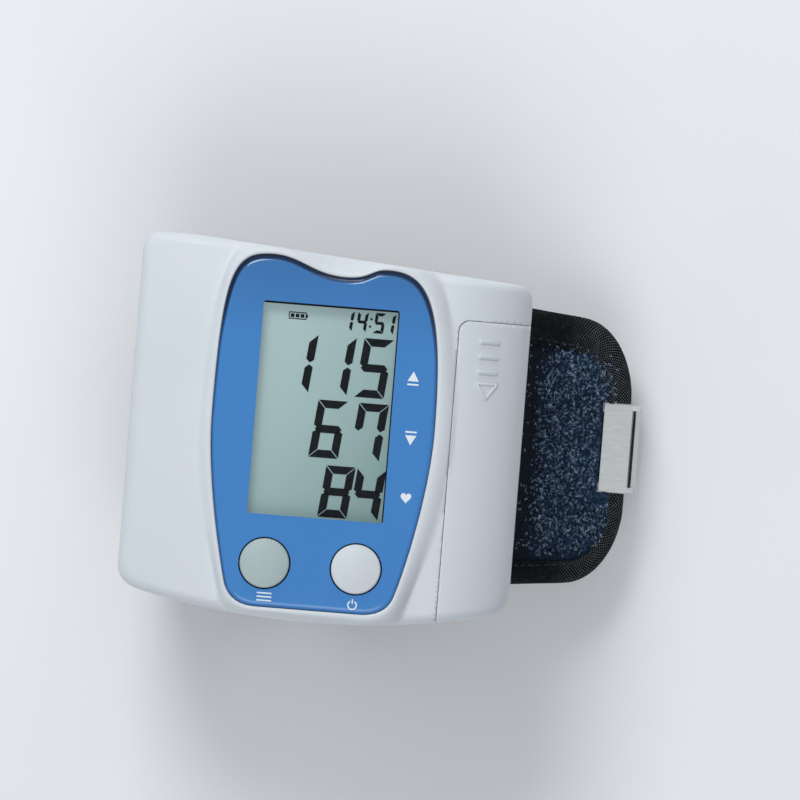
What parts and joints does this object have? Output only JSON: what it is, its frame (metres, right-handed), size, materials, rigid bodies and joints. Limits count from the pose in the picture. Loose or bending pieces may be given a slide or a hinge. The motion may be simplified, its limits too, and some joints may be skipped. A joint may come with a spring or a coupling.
{
  "type": "wrist blood pressure monitor",
  "caption": "Automatic wrist blood pressure monitor: pale moulded housing, blue display panel, round keys and a curled cloth cuff with a steel ring.",
  "frame": {"origin": "middle of the flat on which the curled cuff rests, under the display's middle line", "axes": "+Z the way the display faces, +Y the top of the display, +X the right of the display"},
  "size_m": [0.1036, 0.0768, 0.0817],
  "materials": {
    "housing_plastic": "fine satin moulded, pale grey",
    "panel_blue": "glossy, blue",
    "window_clear": "clear",
    "display_glass": "grey-green reflective liquid crystal",
    "memory_cap": "satin, grey-green",
    "power_cap": "satin, pale grey",
    "inner_white": "moulded, white",
    "inner_black": "moulded, black",
    "rubber_strip": "soft, black",
    "hose_silicone": "soft, milky",
    "bladder_film": "thin grey film",
    "board_green": "solder mask, green",
    "motor_steel": "plated can",
    "cell_wrap": "plain printed sleeve",
    "contact_metal": "nickel plated",
    "screw_steel": "zinc plated",
    "cuff_cloth": "brushed loop cloth, navy, with a black bound edge",
    "lining_cloth": "smooth knit, black",
    "webbing": "woven, black",
    "ring_chrome": "polished"
  },
  "bodies": {
    "monitor": {"front_cover": "housing_plastic", "back_cover": "housing_plastic", "display_bezel": "panel_blue", "display_window": "window_clear", "lcd_panel": "display_glass", "lcd_holder": "inner_white", "lcd_connector": "rubber_strip", "circuit_board": "board_green", "memory_switch": "inner_black", "power_switch": "inner_black", "buzzer": "inner_black", "pressure_sensor": "inner_black", "pump_motor": "motor_steel", "pump_head": "inner_black", "release_valve": "inner_black", "air_manifold": "inner_white", "pump_hose": "hose_silicone", "valve_hose": "hose_silicone", "sensor_hose": "hose_silicone", "air_nipple": "inner_white", "case_screw_1": "screw_steel", "case_screw_2": "screw_steel", "case_screw_3": "screw_steel", "case_screw_4": "screw_steel", "battery_upper": "cell_wrap", "battery_lower": "cell_wrap", "contact_spring_upper": "contact_metal", "contact_spring_lower": "contact_metal", "contact_plate_upper": "contact_metal", "contact_plate_lower": "contact_metal", "contact_bridge": "contact_metal", "cuff_cover": "cuff_cloth", "cuff_lining": "lining_cloth", "air_bladder": "bladder_film", "curler_plate": "inner_white", "ring_tab": "webbing", "ring_pin": "ring_chrome"},
    "memory_key": {"memory_button": "memory_cap", "memory_plunger": "inner_white"},
    "power_key": {"power_button": "power_cap", "power_plunger": "inner_white"},
    "battery_lid": {"battery_cover": "housing_plastic"},
    "crank": {"pump_crank": "inner_white"},
    "ring": {"cuff_ring": "ring_chrome"},
    "strap": {"strap_cover": "cuff_cloth", "strap_lining": "lining_cloth", "strap_stiffener": "inner_white", "strap_tongue": "webbing", "hook_patch": "webbing"}
  },
  "joints": [
    {"name": "memory_press", "type": "slide", "parent": "monitor", "child": "memory_key", "axis": [0, 0, -1], "range_m": [0, 0.0009], "stiffness_N_per_m": 900, "springref_m": -0.0005},
    {"name": "power_press", "type": "slide", "parent": "monitor", "child": "power_key", "axis": [0, 0, -1], "range_m": [0, 0.0009], "stiffness_N_per_m": 900, "springref_m": -0.0005},
    {"name": "battery_cover_slide", "type": "slide", "parent": "monitor", "child": "battery_lid", "axis": [0, -1, 0], "range_m": [0, 0.066]},
    {"name": "crank_spin", "type": "hinge", "parent": "monitor", "child": "crank", "pos_m": [-0.02948, 0.01, 0.06013], "axis": [0, 1, 0], "continuous": true},
    {"name": "ring_swing", "type": "hinge", "parent": "monitor", "child": "ring", "pos_m": [0.05933, 0, 0.0152], "axis": [0, 1, 0], "range_deg": [0, 70]},
    {"name": "cuff_open", "type": "hinge", "parent": "monitor", "child": "strap", "pos_m": [0.01001, 0, 0.00034], "axis": [0, 1, 0], "range_deg": [0, 95], "stiffness_Nm_per_rad": 0.01, "springref_deg": -17.19}
  ]
}
